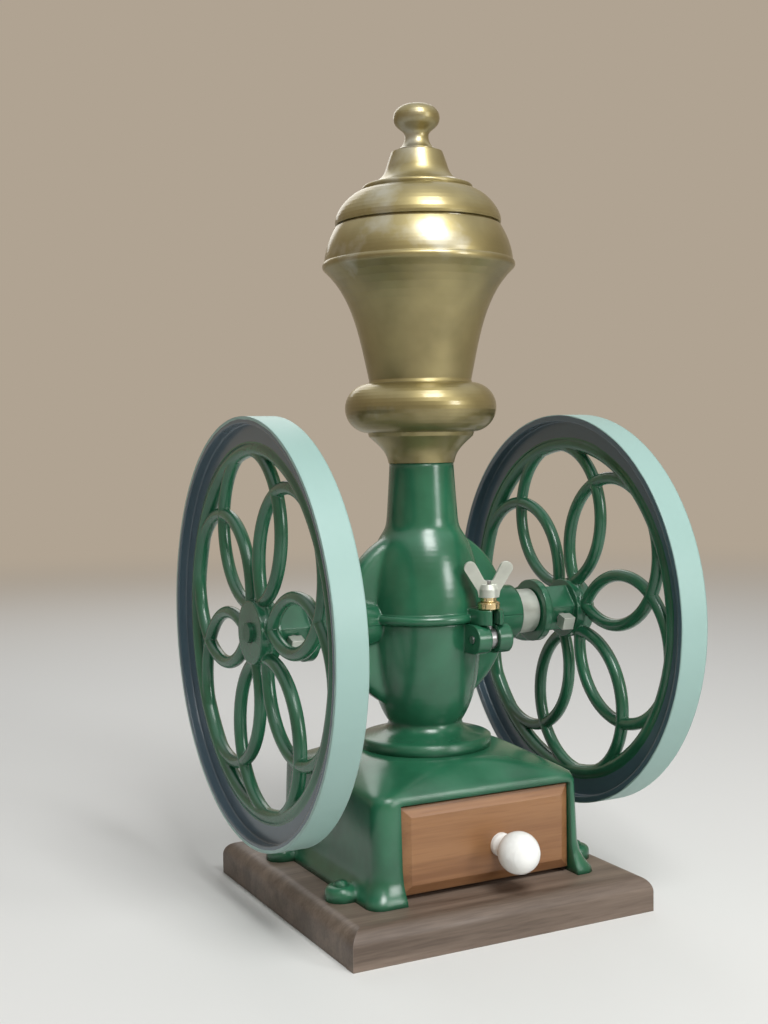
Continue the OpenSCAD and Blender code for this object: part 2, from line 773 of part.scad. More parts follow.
module shaft() {
    color(STEEL) difference() {
        along_x(-shaft_end, shaft_end, shaft_r);
        translate([moving_x - burr_gap, -key_w / 2, shaft_z + shaft_r - key_w / 2])
            cube([key_len, key_w, key_w]);
        translate([auger_x + 3, 0, shaft_z - shaft_d]) cylinder(h = 2 * shaft_d, r = 1 + FIT);
    }
}

module burr_key() {
    color(STEEL) translate([moving_x - burr_gap, -key_w / 2, shaft_z + shaft_r - key_w / 2])
        cube([key_len, key_w, key_w]);
}

module left_bush() {
    color(BRIGHT) difference() {
        union() {
            along_x(-boss_x - EPS, bush_in_x, bush_d / 2);
            along_x(-bush_head_x, -boss_x, sleeve_d / 2 - 1);
        }
        along_x(-shaft_end, 0, shaft_r + FIT);
    }
}

module adjusting_sleeve() {
    color(BRIGHT) difference() {
        along_x(sleeve_in_x, sleeve_x, sleeve_d / 2);
        along_x(0, shaft_end, shaft_r + FIT);
    }
}

module thrust_washer() {
    color(BRASS) difference() {
        along_x(washer_x, washer_x + washer_t, burr_hub_r);
        along_x(0, shaft_end, shaft_r + FIT);
    }
}

// Grooves across a burr's face, set a little off the radius, as cutting edges
module grooves(x0, x1) {
    for (i = [0 : burr_grooves - 1]) translate([0, 0, shaft_z]) rotate([i * 360 / burr_grooves, 0, 0])
        translate([x0, 2, auger_bore_r - 2]) cube([x1 - x0, 1.6, burr_r]);
}

module fixed_burr() {
    face = burr_x + burr_t;
    color(STEEL) difference() {
        along_x(burr_x, face, burr_r);
        along_x(burr_x - 1, face + 1, auger_bore_r);
        grooves(face - groove_depth, face + 1);
        for (a = [-55, -125]) rotate_about_shaft(a) along_x(burr_x - 1, face + 1, burr_screw_r);
    }
}

module burr_screws() {
    color(STEEL) for (a = [-55, -125]) rotate_about_shaft(a)
        along_x(burr_x - 6, burr_x + burr_t - groove_depth, burr_screw_r - FIT);
}

module moving_burr() {
    color(STEEL) difference() {
        union() {
            along_x(moving_x, moving_x + burr_t, burr_r);
            along_x(moving_x + burr_t - EPS, moving_x + burr_t + burr_hub_len, burr_hub_r);
        }
        along_x(0, shaft_end, shaft_r + FIT);
        grooves(moving_x - 1, moving_x + groove_depth);
        translate([0, -key_w / 2 - KEY_GAP, shaft_z])
            cube([chamber_x, key_w + 2 * KEY_GAP, shaft_r + key_w / 2 + KEY_GAP]);
    }
}

// Screw that carries beans from the neck into the eye of the fixed burr
module feed_auger() {
    core_r = shaft_r + 2;
    color(STEEL) difference() {
        union() {
            along_x(auger_x, auger_x + auger_len, core_r);
            translate([auger_x, 0, shaft_z]) rotate([0, 90, 0])
                linear_extrude(auger_len, twist = -450, slices = 36, segments = 8)
                    translate([shaft_r, -2]) square([auger_d / 2 - shaft_r, 4]);
        }
        along_x(auger_x - 1, burr_x, shaft_r + FIT);
        translate([auger_x + 3, 0, shaft_z - shaft_d]) cylinder(h = 2 * shaft_d, r = 1 + FIT);
    }
}

module auger_pin() {
    pin_len = shaft_d + 3;
    color(STEEL) translate([auger_x + 3, 0, shaft_z - pin_len / 2]) cylinder(h = pin_len, r = 1);
}

// Section of the rim: outer hoop, thin web and round inner bead
module rim_section() {
    translate([wheel_r - hoop_t, -wheel_w / 2]) square([hoop_t, wheel_w]);
    translate([bead_r, -rim_web_t / 2]) square([wheel_r - hoop_t / 2 - bead_r, rim_web_t]);
    translate([bead_r, 0]) circle(d = bead_d);
}

// Wheel about Z, with its hexagonal boss downwards
module wheel_blank() {
    difference() {
        union() {
            rotate_extrude() rim_section();
            for (i = [0 : ring_count - 1]) rotate([0, 0, i * 360 / ring_count]) translate([ring_off, 0, 0])
                rotate_extrude() translate([ring_r, 0]) circle(d = ring_bar + (i % 2) * 0.2, $fn = 32);
            translate([0, 0, -hub_w / 2]) cylinder(h = hub_w, d = hub_d);
            translate([0, 0, -hex_len]) rotate([0, 0, 30]) hexagon_prism(hex_af, hex_len);
            translate([0, 0, -hex_len]) cylinder(h = hub_collar_t, d = hub_collar_d);
        }
        translate([0, 0, -hex_len - 1]) cylinder(h = hex_len + hub_w + 2, r = shaft_r + FIT);
        translate([0, 0, set_x - wheel_track / 2]) rotate([0, 90, 0]) cylinder(h = hub_d, r = set_r + FIT);
    }
}

// Puts a wheel made about Z on the shaft, with its boss towards the middle
module on_shaft(side) {
    translate([side * wheel_track / 2, 0, shaft_z]) mirror([side < 0 ? 1 : 0, 0, 0])
        rotate([ring_turn, 0, 0]) rotate([0, 90, 0]) children();
}

module left_wheel() {
    color(GREEN) on_shaft(-1) wheel_blank();
}

module right_wheel() {
    color(GREEN) on_shaft(1) wheel_blank();
}

module wheel_screws() {
    neck = 1.5;
    tip = shaft_r + 2 * FIT;
    head_at = hex_af / 2 + neck;
    color(BRIGHT) for (side = [-1, 1]) on_shaft(side) translate([0, 0, set_x - wheel_track / 2]) {
        translate([tip, 0, 0]) rotate([0, 90, 0]) cylinder(h = head_at - tip + EPS, r = set_r);
        translate([head_at, -set_head / 2, -set_head / 2]) cube([set_head_h, set_head, set_head]);
    }
}

function hopper_bell(shrink) = curve(
    [bell_r - shrink, bell_z], [bell_r + 4.5 - shrink, bell_z + bell_h * 0.36],
    [bell_r + 7.5 - shrink, bell_z + bell_h * 0.76], [lip_r - 0.6 - shrink, lip_z], 14);

function hopper_outline() = concat(
    [[hopper_foot_r, 0]],
    curve([hopper_foot_r, 0], [hopper_foot_r + 1, cove_h * 0.45],
        [cove_r - 5.5, cove_h * 0.65], [cove_r, cove_h]),
    [[cove_r + 0.6, cove_h + 2]],
    arc([bell_r, bulge_z], bulge_r, -85, 88, 20),
    [[bell_r, bell_z]],
    hopper_bell(0),
    curve([lip_r - 0.6, lip_z], [lip_r + 0.4, lip_z + 1],
        [lip_r + 0.4, lip_z + 3], [lip_r - 1, lip_z + 4], 5),
    curve([lip_r - 1, lip_z + 4], [lip_r - 1.5, lip_z + 11],
        [mouth_r + 3, hopper_h - 5], [mouth_r, hopper_h])
);

function hopper_hollow() =
    let (mouth_in = mouth_r - hopper_wall, foot_in = hopper_foot_r - hopper_wall)
    concat(
        [[0, -1], [foot_in, -1], [foot_in, spigot_h + 0.5]],
        curve([foot_in, spigot_h + 0.5], [foot_in, bulge_z - 8], [bell_r - hopper_wall - 2, bulge_z],
            [bell_r - hopper_wall, bell_z]),
        hopper_bell(hopper_wall),
        curve([lip_r - 0.6 - hopper_wall, lip_z], [lip_r - hopper_wall, lip_z + 8],
            [mouth_in, lip_z + 10], [mouth_in, hopper_h - lid_lip_h - 2]),
        [[mouth_in, hopper_h + 1], [0, hopper_h + 1]]
    );

module hopper() {
    color(GOLD) translate([0, 0, hopper_z]) difference() {
        lathe(concat([[0, 0]], hopper_outline(), [[0, hopper_h]]));
        lathe(hopper_hollow());
    }
}

module lid() {
    lip_out = mouth_r - hopper_wall - SEAT;
    lip_in = lip_out - lid_wall;
    edge_r = mouth_r - 0.3;
    groove_h = 1.3;
    stud_r = 2.5;
    bead = 1.4;
    color(GOLD) translate([0, 0, lid_z + EPS]) difference() {
        union() {
            lathe(concat(
                [[0, 0], [edge_r - 1.5, 0], [edge_r - 1.5, groove_h - 0.4], [edge_r + 0.2, groove_h]],
                curve([edge_r + 0.2, groove_h], [edge_r + 1.7, dome_h * 0.3],
                    [step_r + 9, dome_h * 0.86], [step_r, dome_h]),
                arc([step_r - bead, step_z - bead], bead, -45, 90, 8),
                curve([step_r - bead, step_z], [step_r - 8, step_z + ogee_h * 0.2],
                    [lid_collar_r + 4, step_z + ogee_h * 0.5], [lid_collar_r + 2.5, step_z + ogee_h]),
                curve([lid_collar_r + 2.5, step_z + ogee_h], [lid_collar_r + 1.6, step_z + ogee_h + 3],
                    [lid_collar_r + 0.4, lid_top - 2.5], [lid_collar_r - 0.6, lid_top], 6),
                [[0, lid_top]]));
            translate([0, 0, -lid_lip_h]) cylinder(h = lid_lip_h + 1, r = lip_out);
        }
        lathe(concat(
            [[0, -lid_lip_h - 1], [lip_in, -lid_lip_h - 1], [lip_in, 1]],
            curve([lip_in, 1], [lip_in, dome_h * 0.5], [step_r + 5 - lid_wall, dome_h - lid_wall],
                [step_r - lid_wall, dome_h - lid_wall]),
            [[0, dome_h - lid_wall]]));
        translate([0, 0, -1]) cylinder(h = lid_top + 2, r = stud_r + FIT);
    }
}

module lid_knob() {
    stud_r = 2.5;
    foot_r = lid_collar_r - 4;
    neck_r = lid_knob_r / 2;
    ball_z = lid_knob_h * 0.72;
    color(GOLD) translate([0, 0, lid_z + lid_top + 2 * EPS]) {
        lathe(concat(
            [[0, 0], [foot_r, 0], [foot_r, 1.4]],
            curve([foot_r, 1.4], [neck_r + 2, 2.4], [neck_r, lid_knob_h * 0.2], [neck_r, lid_knob_h * 0.32]),
            curve([neck_r, lid_knob_h * 0.32], [neck_r, lid_knob_h * 0.44],
                [lid_knob_r * 0.7, lid_knob_h * 0.46], [lid_knob_r * 0.88, lid_knob_h * 0.56]),
            curve([lid_knob_r * 0.88, lid_knob_h * 0.56], [lid_knob_r * 1.08, ball_z - 1],
                [lid_knob_r, lid_knob_h * 0.9], [lid_knob_r * 0.55, lid_knob_h * 0.97]),
            curve([lid_knob_r * 0.55, lid_knob_h * 0.97], [lid_knob_r * 0.4, lid_knob_h * 0.99],
                [lid_knob_r * 0.2, lid_knob_h], [0, lid_knob_h], 5)
        ));
        translate([0, 0, dome_h - lid_wall - lid_top - 6])
            cylinder(h = lid_top - dome_h + lid_wall + 7, r = stud_r);
    }
}

module lid_nut() {
    nut_h = 4;
    color(STEEL) translate([0, 0, lid_z + dome_h - lid_wall - nut_h]) difference() {
        hexagon_prism(bolt_af, nut_h);
        translate([0, 0, -1]) cylinder(h = nut_h + 2, r = 2.5 + FIT);
    }
}

base_plinth();
base_box();
base_screws();
drawer_front();
drawer_left_side();
drawer_right_side();
drawer_back();
drawer_bottom();
drawer_knob();
knob_screw();
lower_housing();
upper_housing();
foot_bolts();
clamp_bolt();
clamp_pin();
clamp_collar();
wing_nut();
rear_bolt();
rear_nut();
shaft();
left_bush();
adjusting_sleeve();
thrust_washer();
fixed_burr();
burr_screws();
moving_burr();
burr_key();
feed_auger();
auger_pin();
left_wheel();
right_wheel();
wheel_screws();
hopper();
lid();
lid_knob();
lid_nut();
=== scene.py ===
"""Finishes, studio and camera of a hand-turned coffee mill with two flywheels."""

import json
import math

import bmesh
import bpy
from mathutils import Matrix, Vector


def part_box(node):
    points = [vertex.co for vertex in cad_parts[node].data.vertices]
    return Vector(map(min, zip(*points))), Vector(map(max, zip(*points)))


bl_info = {
    "name": "Coffee mill looks",
    "version": (1, 0, 0),
    "blender": (4, 5, 0),
    "location": "3D View > Sidebar > Coffee mill",
    "description": "Paints and finishes the mill, and sets its studio",
    "category": "Object",
}

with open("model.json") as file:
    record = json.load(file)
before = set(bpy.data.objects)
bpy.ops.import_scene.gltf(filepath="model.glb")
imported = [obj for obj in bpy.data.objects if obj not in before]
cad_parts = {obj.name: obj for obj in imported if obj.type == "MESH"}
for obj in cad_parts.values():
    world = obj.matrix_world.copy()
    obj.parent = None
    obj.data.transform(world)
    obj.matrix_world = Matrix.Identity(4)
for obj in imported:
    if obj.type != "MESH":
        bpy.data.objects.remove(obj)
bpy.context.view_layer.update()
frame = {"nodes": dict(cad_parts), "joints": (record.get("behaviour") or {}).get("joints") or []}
JOINTS = {joint["name"]: joint for joint in frame["joints"]}

# Places that the finishes follow, in metres
MM = 0.001
SHAFT_Z = JOINTS["shaft_spin"]["pos_m"][2]
SHAFT_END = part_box("shaft")[1].x
WHEEL_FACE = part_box("right_wheel")[1].x
LID_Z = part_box("hopper")[1].z
BOX_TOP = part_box("base_box")[1].z

# Where the enamel's rounding grows to its full width: in front of the webs, and above the box
WEB_FADE = (20 * MM, 13 * MM)
BOX_FADE = (BOX_TOP + 14 * MM, BOX_TOP + 6 * MM)
# Steepest step between two strips of the box's roof that is shaded smooth
ROOF_STEP = math.radians(28)
WELD = 0.002 * MM

# Hand lining of the wheels: how far a line wavers, and half the width of its soft edges
WAVER = 0.2 * MM
HOOP_LINE = 0.12 * MM
BEAD_LINE = 0.15 * MM

# The hopper's side where the gold is rubbed bare, which is also where a pale painted reflection of
# light from the left goes, and the heights between which these pale patches grow
RUBBED_AND_LIT_SIDE = (-0.93, -0.37, 0)
RUBBED_FROM = LID_Z - 30 * MM
RUBBED_FULL = LID_Z - 14 * MM

# Roughness of the enamels, and the range of it on bare steel
GREEN_ROUGH = 0.24
MINT_ROUGH = 0.46
STEEL_ROUGH = (0.28, 0.42)

# Lamps: azimuth and elevation in degrees, then distance, width and height in metres
LAMPS = {
    "top": (-4, 52, 1.5, 0.6, 0.7),
    "side": (25, 14, 1.4, 0.34, 0.4),
    "rear": (165, 32, 1.7, 1.1, 0.9),
}
LAMP_AIM = Vector((0, 0, 0.2))

# Floor in metres, and the rise over which the background turns to the ceiling, 1 straight up
FLOOR_RADIUS = 12
FLOOR_FADE = (0.6, 2.6)
CEILING_FADE = (0.42, 0.8)

# Camera: the sensor's width in millimetres, and the nearest distance that shows, in metres
SENSOR_MM = 36
CLIP_START = 0.05

NOISE = "ShaderNodeTexNoise"
RANGE = "ShaderNodeMapRange"
MATH = "ShaderNodeMath"
VECTOR = "ShaderNodeVectorMath"
MIX = "ShaderNodeMix"
BUMP = "ShaderNodeBump"
BEVEL = "ShaderNodeBevel"
COORDS = "ShaderNodeTexCoord"
PARTS = "ShaderNodeSeparateXYZ"
LAYERS = "ShaderNodeMixShader"


def linear(hex_value):
    """Linear RGBA of an sRGB hex value."""
    shares = [int(hex_value[i:i + 2], 16) / 255 for i in (0, 2, 4)]
    return [c / 12.92 if c <= 0.04045 else ((c + 0.055) / 1.055) ** 2.4 for c in shares] + [1.0]


def per(size_mm):
    """Scale of a pattern whose features are about this many millimetres apart."""
    return 1 / (size_mm * MM)


def colour(name, description, hex_value):
    """A colour that a user would change."""
    return bpy.props.FloatVectorProperty(
        name=name, description=description, subtype="COLOR", size=4, min=0, max=1,
        default=linear(hex_value))


def length(name, description, millimetres):
    """A length that a user would change."""
    return bpy.props.FloatProperty(
        name=name, description=description, subtype="DISTANCE", unit="LENGTH",
        default=millimetres * MM)


def angle(name, description, degrees):
    """An angle that a user would change."""
    return bpy.props.FloatProperty(
        name=name, description=description, subtype="ANGLE", unit="ROTATION",
        default=math.radians(degrees))


def power(name, description, watts):
    """A lamp's power that a user would change."""
    return bpy.props.FloatProperty(
        name=name, description=description, subtype="POWER", unit="POWER", default=watts)


def focal(name, description, millimetres):
    """A focal length that a user would change."""
    return bpy.props.FloatProperty(
        name=name, description=description, subtype="DISTANCE_CAMERA", unit="CAMERA",
        default=millimetres)


def number(name, description, value):
    """A plain number that a user would change."""
    return bpy.props.FloatProperty(name=name, description=description, default=value)


class MillPaints(bpy.types.PropertyGroup):
    """Colours and edges of the painted and varnished pieces."""

    green: colour("Green", "Enamel on the housing, the box and the spokes", "29674A")
    green_deep: colour("Deep green", "Thicker patches of the enamel", "1E563C")
    navy: colour("Navy", "Sides of the wheels' rims", "495C67")
    mint: colour("Mint", "Outer hoop of the wheels", "93B3AC")
    gold: colour("Gold", "Bronze paint on the hopper and lid", "9C9063")
    gold_deep: colour("Deep gold", "Thin patches of the bronze paint", "837850")
    gold_edge: colour("Gold edge", "Gloss of the bronze paint at a flat angle", "CBC4AE")
    # The bare metal colour also serves as a painted reflection of light from the left on the hopper
    bare: colour("Bare metal", "Metal where the gold is rubbed off", "B9B8AE")
    walnut: colour("Walnut", "Main colour of the plinth", "7D6D60")
    walnut_deep: colour("Walnut grain", "Dark grain of the plinth", "584A3F")
    cherry: colour("Cherry", "Main colour of the drawer", "976D48")
    cherry_deep: colour("Cherry grain", "Dark grain of the drawer", "7F5737")
    glaze: colour("Glaze", "Drawer knob", "F8F8F4")
    hoop_width: length("Hoop width", "Width of the wheels' hoops", 16)
    outer_edge: length("Outer edge", "Radius where the mint starts on a wheel's outer side", 106.5)
    inner_edge: length("Inner edge", "Radius where the mint starts on a wheel's inner side", 107.5)
    edge: length("Edge", "Rounding of the enamelled castings' edges", 1.4)
    crisp: length("Crisp", "Height from the shaft up to which the housing's edges stay crisp", 9)
    end_paint: length("End paint", "Length of the shaft's ends that is painted over", 2.4)
    bead_edge: length("Bead edge", "Radius where the navy meets the green bead", 95.6)


class MillMetals(bpy.types.PropertyGroup):
    """Colours of the bare metal pieces."""

    bright: colour("Bright plate", "Wing nut, sleeve, bush and set screws", "C6CAC0")
    steel: colour("Steel", "Shaft, screws, bolts and pins", "9A9B9B")
    iron: colour("Ground iron", "Burrs and auger", "7B7875")
    brass: colour("Brass", "Clamp collar and thrust washer", "EDD6A6")


class MillStudio(bpy.types.PropertyGroup):
    """Camera, floor and light."""

    azimuth: angle("Azimuth", "Turn of the camera round the mill", -26.84)
    elevation: angle("Elevation", "Rise of the camera's line of sight", 2.75)
    roll: angle("Roll", "Turn of the camera about its line of sight", -0.9)
    distance: length("Distance", "From the target to the camera", 721.2)
    aside: length("Aside", "Target to the side of the mill's axis", -20.2)
    height: length("Height", "Target above the table", 204.2)
    lens: focal("Lens", "Focal length for a 36 mm sensor", 47.77)
    floor: colour("Floor", "Table top", "E6E6E3")
    backdrop: colour("Backdrop", "Plain background near the horizon", "B0A392")
    ceiling: colour("Ceiling", "Plain background overhead", "FFFFFF")
    top_power: power("Top lamp", "Power of the large lamp overhead", 20)
    side_power: power("Side lamp", "Power of the small lamp at the right", 5.6)
    rear_power: power("Rear lamp", "Power of the broad lamp behind", 5)
    sky: number("Sky", "Strength of the even light", 0.2)


def add(tree, kind, inputs, out=0, **settings):
    """Adds a node with its settings, sets or links its inputs and returns one of its outputs."""
    made = tree.nodes.new(kind)
    for name, value in settings.items():
        setattr(made, name, value)
    for socket, value in inputs.items():
        if isinstance(value, bpy.types.NodeSocket):
            tree.links.new(value, made.inputs[socket])
        else:
            made.inputs[socket].default_value = value
    return made.outputs[out]


def start_material(name, constants):
    """A material with its shader's constant sockets set, and its tree and Object coordinates."""
    material = bpy.data.materials.new(name)
    material.use_nodes = True
    tree = material.node_tree
    for socket, value in constants.items():
        tree.nodes["Principled BSDF"].inputs[socket].default_value = value
    return material, tree, add(tree, COORDS, {}, "Object")


def finish_material(tree, **sockets):
    """Links what was worked out for a material to its shader."""
    for name, value in sockets.items():
        tree.links.new(value, tree.nodes["Principled BSDF"].inputs[name.replace("_", " ").title()])


def dress(material, *names):
    """Gives CAD nodes a material."""
    for name in names:
        slots = frame["nodes"][name].data.materials
        slots.clear()
        slots.append(material)


def enamel_paint(tree, place, paints):
    """Green enamel that is a little deeper where the brush left more of it."""
    coats = add(tree, NOISE, {"Vector": place, "Scale": per(26), "Detail": 3})
    thick = add(tree, RANGE, {"Value": coats, "From Min": 0.3, "From Max": 0.73},
                interpolation_type="SMOOTHSTEP")
    return add(tree, MIX, {0: thick, 6: paints.green, 7: paints.green_deep}, 2, data_type="RGBA")


def enamel_skin(tree, place, paint, rounding, roughness):
    """Gloss and relief of brushed enamel that rounds every edge and corner of a sand casting."""
    patches = add(tree, NOISE, {"Vector": place, "Scale": per(30), "Detail": 2})
    cast = add(tree, NOISE, {"Vector": place, "Scale": per(7), "Detail": 2})
    peel = add(tree, NOISE, {"Vector": place, "Scale": per(1.4), "Detail": 1})
    uneven = add(tree, RANGE, {"Value": patches, "From Min": 0.2, "From Max": 0.8,
                               "To Min": -0.04, "To Max": 0.04})
    gloss = add(tree, MATH, {0: uneven, 1: roughness}, operation="ADD")
    soft = add(tree, BEVEL, {"Radius": rounding}, samples=8)
    skin = add(tree, BUMP, {"Height": cast, "Distance": 0.05 * MM, "Normal": soft})
    skin = add(tree, BUMP, {"Height": peel, "Distance": 0.012 * MM, "Normal": skin})
    finish_material(tree, base_color=paint, roughness=gloss, normal=skin)


class MILL_OT_castings(bpy.types.Operator):
    """Enamels the box and both halves of the housing"""

    bl_idname = "mill.castings"
    bl_label = "Castings"

    def execute(self, context):
        # Air-dried enamel brushed over sand-cast iron: glossy, with soft edges and an uneven skin
        paints = context.scene.mill_paints
        material, tree, place = start_material("green enamel on cast iron", {"IOR": 1.6})
        paint = enamel_paint(tree, place, paints)
        enamel_skin(tree, place, paint, self.rounding(tree, place, paints), GREEN_ROUGH)
        dress(material, "base_box", "lower_housing", "upper_housing", "base_screws")
        self.smooth("base_box")
        return {"FINISHED"}

    def rounding(self, tree, place, paints):
        """Broad where the barrel flows into the webs and on the box, crisp on clamp and flange."""
        height = add(tree, PARTS, {0: place}, "Z")
        depth = add(tree, MATH, {0: add(tree, PARTS, {0: place}, "Y")}, operation="ABSOLUTE")
        web = add(tree, RANGE, {"Value": depth, "From Min": WEB_FADE[0], "From Max": WEB_FADE[1]})
        box = add(tree, RANGE, {"Value": height, "From Min": BOX_FADE[0], "From Max": BOX_FADE[1]})
        broad = add(tree, MATH, {0: web, 1: box}, operation="MAXIMUM")
        widest = add(tree, MATH, {0: broad, 1: 3 * paints.edge, 2: paints.edge},
                     operation="MULTIPLY_ADD")
        above = add(tree, MATH, {0: height, 1: SHAFT_Z}, operation="SUBTRACT")
        apart = add(tree, MATH, {0: above}, operation="ABSOLUTE")
        return add(tree, RANGE, {"Value": apart, "From Min": paints.crisp,
                                 "From Max": 2 * paints.crisp,
                                 "To Min": paints.edge, "To Max": widest})

    def smooth(self, name):
        """Shades the narrow strips of a domed roof as one surface."""
        node = frame["nodes"][name]
        node.modifiers.new("joined", "WELD").merge_threshold = WELD
        node.modifiers.new("edges", "EDGE_SPLIT").split_angle = ROOF_STEP
        node.modifiers.new("shading", "WEIGHTED_NORMAL")


class MILL_OT_wheels(bpy.types.Operator):
    """Paints the wheels green, with navy rim sides and a mint hoop"""

    bl_idname = "mill.wheels"
    bl_label = "Wheels"

    def execute(self, context):
        # The same enamel in three colours, lined by hand, so the lines waver; the mint is duller
        paints = context.scene.mill_paints
        material, tree, place = start_material("three-colour enamel on cast iron", {"IOR": 1.6})
        middle = add(tree, VECTOR, {0: place, 1: (0, 0, SHAFT_Z)}, operation="SUBTRACT")
        across = add(tree, VECTOR, {0: middle, 1: (0, 1, 1)}, operation="MULTIPLY")
        radius = add(tree, VECTOR, {0: across}, "Value", operation="LENGTH")
        hand = add(tree, NOISE, {"Vector": place, "Scale": per(12), "Detail": 1})
        waver = add(tree, RANGE, {"Value": hand, "From Min": 0.3, "From Max": 0.7,
                                  "To Min": -WAVER, "To Max": WAVER})
        lined = add(tree, MATH, {0: radius, 1: waver}, operation="ADD")
        along = add(tree, PARTS, {0: place}, "X")
        outwards = add(tree, MATH, {0: along}, operation="ABSOLUTE")
        plane = WHEEL_FACE - paints.hoop_width / 2
        start = add(tree, RANGE, {"Value": outwards, "From Min": plane - MM, "From Max": plane + MM,
                                  "To Min": paints.inner_edge, "To Max": paints.outer_edge})
        past = add(tree, MATH, {0: lined, 1: start}, operation="SUBTRACT")
        hoop = add(tree, RANGE, {"Value": past, "From Min": -HOOP_LINE, "From Max": HOOP_LINE})
        side = add(tree, RANGE, {"Value": lined, "From Min": paints.bead_edge - BEAD_LINE,
                                 "From Max": paints.bead_edge + BEAD_LINE})
        green = enamel_paint(tree, place, paints)
        two = add(tree, MIX, {0: side, 6: green, 7: paints.navy}, 2, data_type="RGBA")
        three = add(tree, MIX, {0: hoop, 6: two, 7: paints.mint}, 2, data_type="RGBA")
        dull = add(tree, RANGE, {"Value": hoop, "To Min": GREEN_ROUGH, "To Max": MINT_ROUGH})
        enamel_skin(tree, place, three, paints.edge, dull)
        dress(material, "left_wheel", "right_wheel")
        return {"FINISHED"}


class MILL_OT_hopper(bpy.types.Operator):
    """Paints the hopper, lid and lid knob with bronze paint"""

    bl_idname = "mill.hopper"
    bl_label = "Hopper and lid"

    def execute(self, context):
        # Bronze paint, fine metal flakes under varnish: satin, rubbed bare where hands go, and with
        # pale patches on the left that are partly a painted reflection of light from the left
        paints = context.scene.mill_paints
        material, tree, place = start_material("satin bronze paint", {
            "Metallic": 0.85, "Specular Tint": paints.gold_edge,
            "Coat Weight": 0.7, "Coat Roughness": 0.18})
        clouds = add(tree, NOISE, {"Vector": place, "Scale": per(28), "Detail": 3})
        thin = add(tree, RANGE, {"Value": clouds, "From Min": 0.35, "From Max": 0.68})
        paint = add(tree, MIX, {0: thin, 6: paints.gold, 7: paints.gold_deep}, 2, data_type="RGBA")
        # Real flakes are too fine to show, so they are drawn 0.8 mm apart
        flakes = add(tree, NOISE, {"Vector": place, "Scale": per(0.8), "Detail": 1})
        rub = add(tree, NOISE, {"Vector": place, "Scale": per(22), "Detail": 4})
        level = add(tree, VECTOR, {0: place, 1: (1, 1, 0)}, operation="MULTIPLY")
        facing = add(tree, VECTOR, {0: level}, operation="NORMALIZE")
        # Pale patches gather on the left side and near the top: partly rubbed wear, partly a
        # painted reflection of light from the left
        held_and_lit = add(tree, VECTOR, {0: facing, 1: RUBBED_AND_LIT_SIDE}, "Value", operation="DOT_PRODUCT")
        height = add(tree, PARTS, {0: place}, "Z")
        upper = add(tree, RANGE, {"Value": height, "From Min": RUBBED_FROM,
                                  "From Max": RUBBED_FULL, "To Min": -0.28, "To Max": -0.05})
        reach = add(tree, MATH, {0: held_and_lit, 1: 0.2}, operation="MULTIPLY")
        touched = add(tree, MATH, {0: rub, 1: reach}, operation="ADD")
        wear_and_reflection = add(tree, MATH, {0: touched, 1: upper}, operation="ADD")
        worn = add(tree, RANGE, {"Value": wear_and_reflection, "From Min": 0.6, "From Max": 0.8, "To Max": 0.6})
        tone = add(tree, MIX, {0: worn, 6: paint, 7: paints.bare}, 2, data_type="RGBA")
        gloss = add(tree, RANGE, {"Value": clouds, "From Min": 0.2, "From Max": 0.8,
                                  "To Min": 0.39, "To Max": 0.47})
        soft = add(tree, BEVEL, {"Radius": 0.6 * MM}, samples=6)
        skin = add(tree, BUMP, {"Height": flakes, "Distance": 0.012 * MM, "Normal": soft})
        skin = add(tree, BUMP, {"Height": rub, "Distance": 0.04 * MM, "Normal": skin})
        finish_material(tree, base_color=tone, roughness=gloss, normal=skin)
        dress(material, "hopper", "lid", "lid_knob")
        return {"FINISHED"}


def grained_wood(name, along, light, dark, roughness, figure_mm):
    """A stained board whose grain runs along an axis, given as three stretch values."""
    material, tree, place = start_material(name, {"IOR": 1.5})
    board = add(tree, "ShaderNodeMapping", {"Vector": place, "Scale": along})
    figure = add(tree, NOISE, {"Vector": board, "Scale": per(figure_mm), "Detail": 3,
                               "Distortion": 0.5})
    # Real fibres and pores are too fine to show, so they are drawn 1.1 mm apart
    fibres = add(tree, NOISE, {"Vector": board, "Scale": per(1.1), "Detail": 2})
    blotch = add(tree, NOISE, {"Vector": place, "Scale": per(35), "Detail": 2})
    bands = add(tree, RANGE, {"Value": figure, "From Min": 0.33, "From Max": 0.68})
    mild = add(tree, RANGE, {"Value": fibres, "From Min": 0.3, "From Max": 0.7,
                             "To Min": -0.18, "To Max": 0.18})
    grain = add(tree, MATH, {0: bands, 1: mild}, operation="ADD", use_clamp=True)
    stain = add(tree, MIX, {0: grain, 6: dark, 7: light}, 2, data_type="RGBA")
    pores = add(tree, RANGE, {"Value": fibres, "From Min": 0.27, "From Max": 0.38,
                              "To Min": 0.35, "To Max": 0.0})
    filled = add(tree, MIX, {0: pores, 6: stain, 7: dark}, 2, data_type="RGBA")
    soft = add(tree, BEVEL, {"Radius": 0.8 * MM}, samples=6)
    true = add(tree, "ShaderNodeNewGeometry", {}, "Normal")
    turned = add(tree, VECTOR, {0: soft, 1: true}, "Value", operation="DOT_PRODUCT")
    edge = add(tree, RANGE, {"Value": turned, "From Min": 0.99, "From Max": 0.85, "To Max": 0.45})
    pale = [0.5 + 0.5 * c for c in light[:3]]
    worn = [0.75 * c + 0.25 * p for c, p in zip(light[:3], pale)] + [1.0]
    tone = add(tree, MIX, {0: edge, 6: filled, 7: worn}, 2, data_type="RGBA")
    gloss = add(tree, RANGE, {"Value": blotch, "From Min": 0.3, "From Max": 0.7,
                              "To Min": roughness - 0.05, "To Max": roughness + 0.08})
    skin = add(tree, BUMP, {"Height": fibres, "Distance": 0.05 * MM, "Normal": soft})
    finish_material(tree, base_color=tone, roughness=gloss, normal=skin)
    return material


